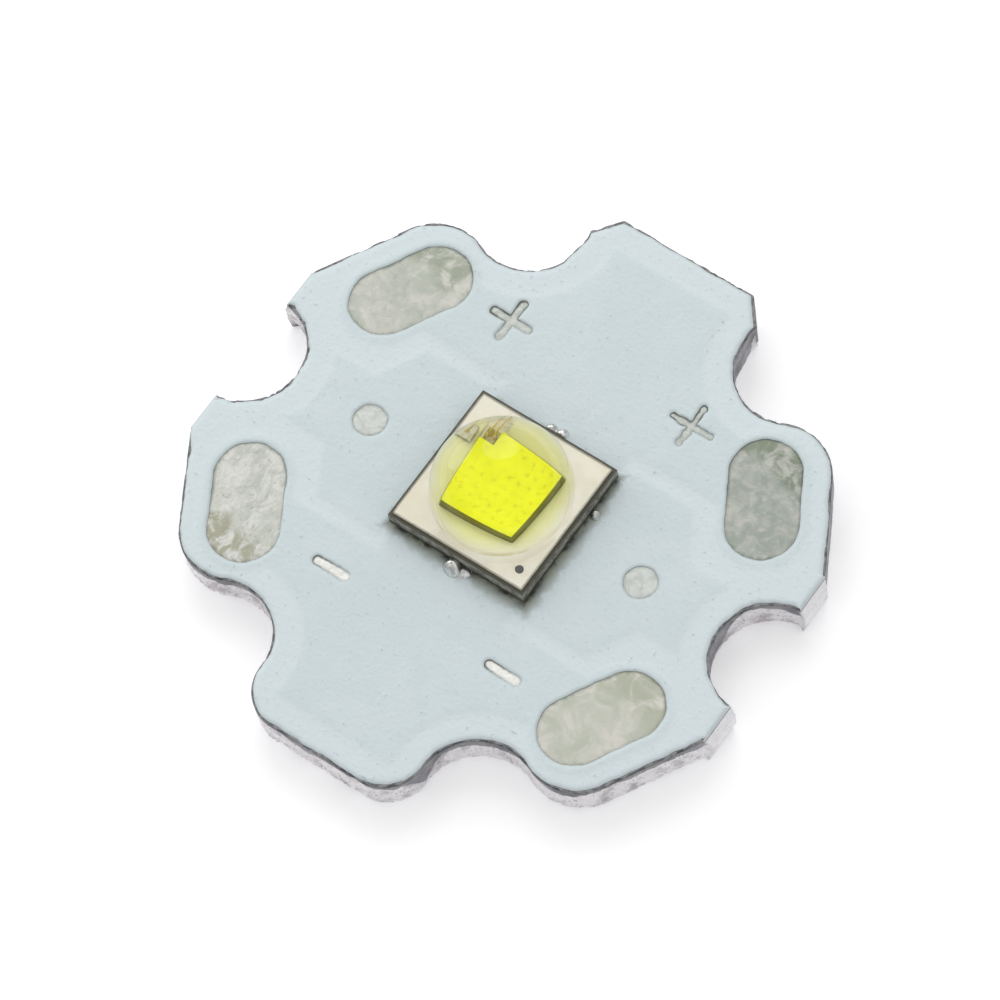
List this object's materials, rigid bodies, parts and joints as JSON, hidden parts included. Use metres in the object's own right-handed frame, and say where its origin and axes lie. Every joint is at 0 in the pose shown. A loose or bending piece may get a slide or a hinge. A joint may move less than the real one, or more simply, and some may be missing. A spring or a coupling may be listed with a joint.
{
  "type": "high power led",
  "caption": "White light emitter with a clear dome on a square ceramic, soldered to a six-lobed aluminium board with screw notches and tinned wire pads.",
  "frame": {"origin": "centre of the board's flat underside", "axes": "+Z out of the light-giving face, +X through the notches between the scored sides, +Y towards the anode pads"},
  "size_m": [0.0198, 0.02, 0.0046],
  "materials": {
    "aluminium_core": "punched sheet, bright torn edges",
    "dielectric": "filled epoxy layer, seen only at the edge",
    "copper_foil": "etched copper foil under the mask",
    "white_mask": "satin white solder mask, slightly blue",
    "tinned_pad": "dull uneven tin",
    "solder": "bright solder",
    "terminal_metal": "plated terminal",
    "ceramic_body": "dark olive grey sawn ceramic",
    "white_coat": "cream white reflective coating",
    "bond_metal": "metal bond under the chip",
    "chip_crystal": "grey chip",
    "phosphor": "lemon yellow phosphor",
    "diode_body": "small dark diode",
    "gold_wire": "fine gold wire",
    "clear_silicone": "clear silicone, smooth"
  },
  "bodies": {
    "root": {"base_plate": "aluminium_core", "dielectric_layer": "dielectric", "anode_copper": "copper_foil", "cathode_copper": "copper_foil", "thermal_copper": "copper_foil", "solder_mask": "white_mask", "anode_wire_pad_left": "tinned_pad", "anode_wire_pad_right": "tinned_pad", "cathode_wire_pad_left": "tinned_pad", "cathode_wire_pad_right": "tinned_pad", "test_spot_left": "tinned_pad", "test_spot_right": "tinned_pad", "anode_solder_joint": "solder", "cathode_solder_joint": "solder", "heat_solder_joint": "solder", "anode_terminal": "terminal_metal", "cathode_terminal": "terminal_metal", "heat_terminal": "terminal_metal", "anode_vias": "terminal_metal", "cathode_vias": "terminal_metal", "ceramic_substrate": "ceramic_body", "white_coating": "white_coat", "anode_track": "terminal_metal", "cathode_track": "terminal_metal", "chip_bond": "bond_metal", "led_chip": "chip_crystal", "phosphor_layer": "phosphor", "protection_diode": "diode_body", "bond_wire_outer": "gold_wire", "bond_wire_inner": "gold_wire", "diode_wire": "gold_wire", "silicone_lens": "clear_silicone"}
  },
  "joints": []
}
